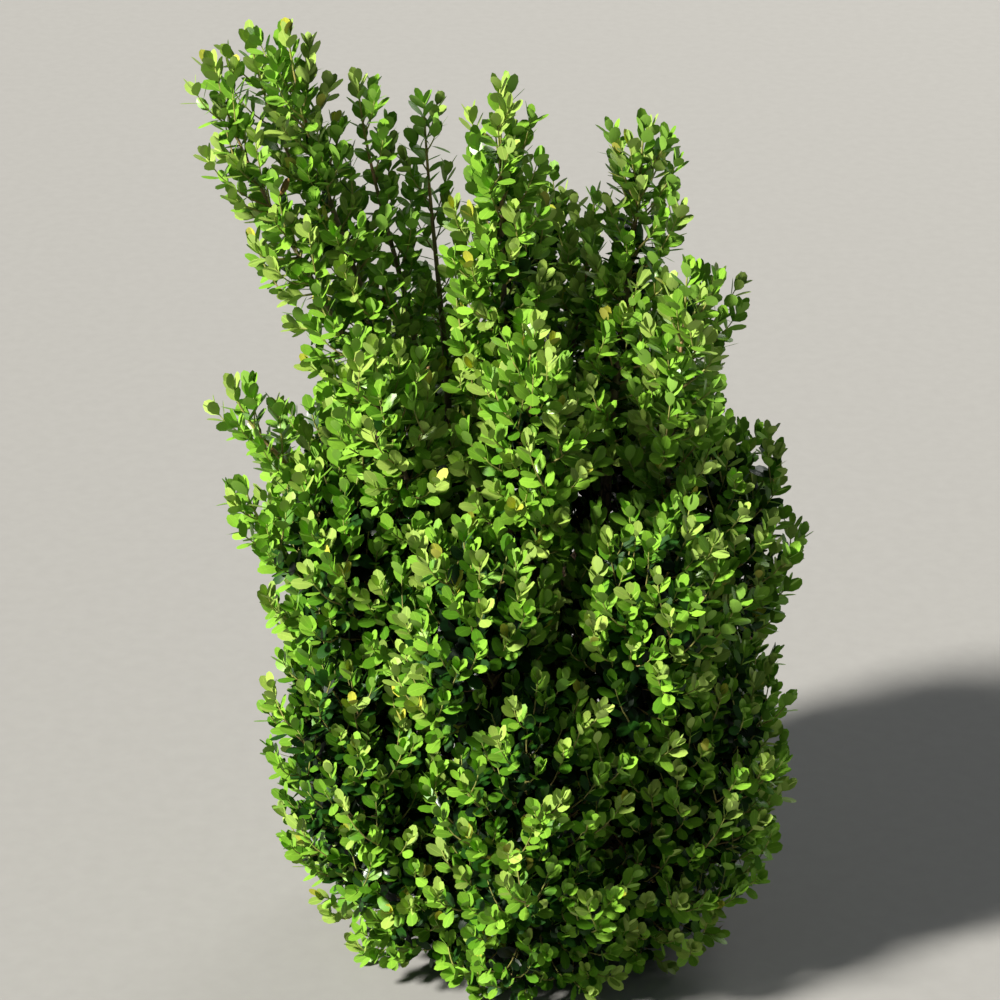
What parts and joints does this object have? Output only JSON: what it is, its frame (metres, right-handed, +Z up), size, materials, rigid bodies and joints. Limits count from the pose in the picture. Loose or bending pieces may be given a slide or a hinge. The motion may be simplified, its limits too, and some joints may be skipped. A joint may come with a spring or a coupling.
{
  "type": "upright boxwood shrub",
  "caption": "Rooted evergreen boxwood shrub: a short main stem, rising boughs, a rounded leafy body and upright leafy shoots, for garden beds.",
  "frame": {"origin": "centre of the flat cut under the main stem, at ground level", "axes": "+Z up; +X towards the shrub's right side as the picture shows it; +Y towards its back, so its front faces -Y"},
  "size_m": [0.4895, 0.4642, 0.8379],
  "materials": {
    "bark": "rough bark",
    "leaves": "semi-gloss leaf"
  },
  "bodies": {
    "root": {"trunk": "bark", "bough_middle_1": "bark", "bough_middle_2": "bark", "bough_middle_3": "bark", "bough_middle_4": "bark", "bough_middle_5": "bark", "bough_middle_6": "bark", "bough_middle_7": "bark", "bough_centre": "bark", "bough_left": "bark", "bough_right": "bark", "bough_back": "bark", "bough_left_outer": "bark", "bough_left_inner": "bark", "bough_left_front": "bark", "bough_left_sprig": "bark", "bough_centre_left": "bark", "bough_centre_front": "bark", "bough_right_outer": "bark", "bough_right_far": "bark", "bough_back_left": "bark", "bough_back_right": "bark", "bough_left_low": "bark", "bough_centre_right": "bark", "bough_left_high": "bark", "foliage_low_1": "leaves", "foliage_low_2": "leaves", "foliage_low_3": "leaves", "foliage_low_4": "leaves", "foliage_low_5": "leaves", "foliage_low_6": "leaves", "foliage_middle_1": "leaves", "foliage_middle_2": "leaves", "foliage_middle_3": "leaves", "foliage_middle_4": "leaves", "foliage_middle_5": "leaves", "foliage_middle_6": "leaves", "foliage_middle_7": "leaves", "foliage_centre": "leaves", "foliage_left": "leaves", "foliage_right": "leaves", "foliage_back": "leaves", "foliage_left_outer": "leaves", "foliage_left_inner": "leaves", "foliage_left_front": "leaves", "foliage_left_sprig": "leaves", "foliage_centre_left": "leaves", "foliage_centre_front": "leaves", "foliage_right_outer": "leaves", "foliage_right_far": "leaves", "foliage_back_left": "leaves", "foliage_back_right": "leaves", "foliage_left_low": "leaves", "foliage_centre_right": "leaves", "foliage_left_high": "leaves"}
  },
  "joints": []
}
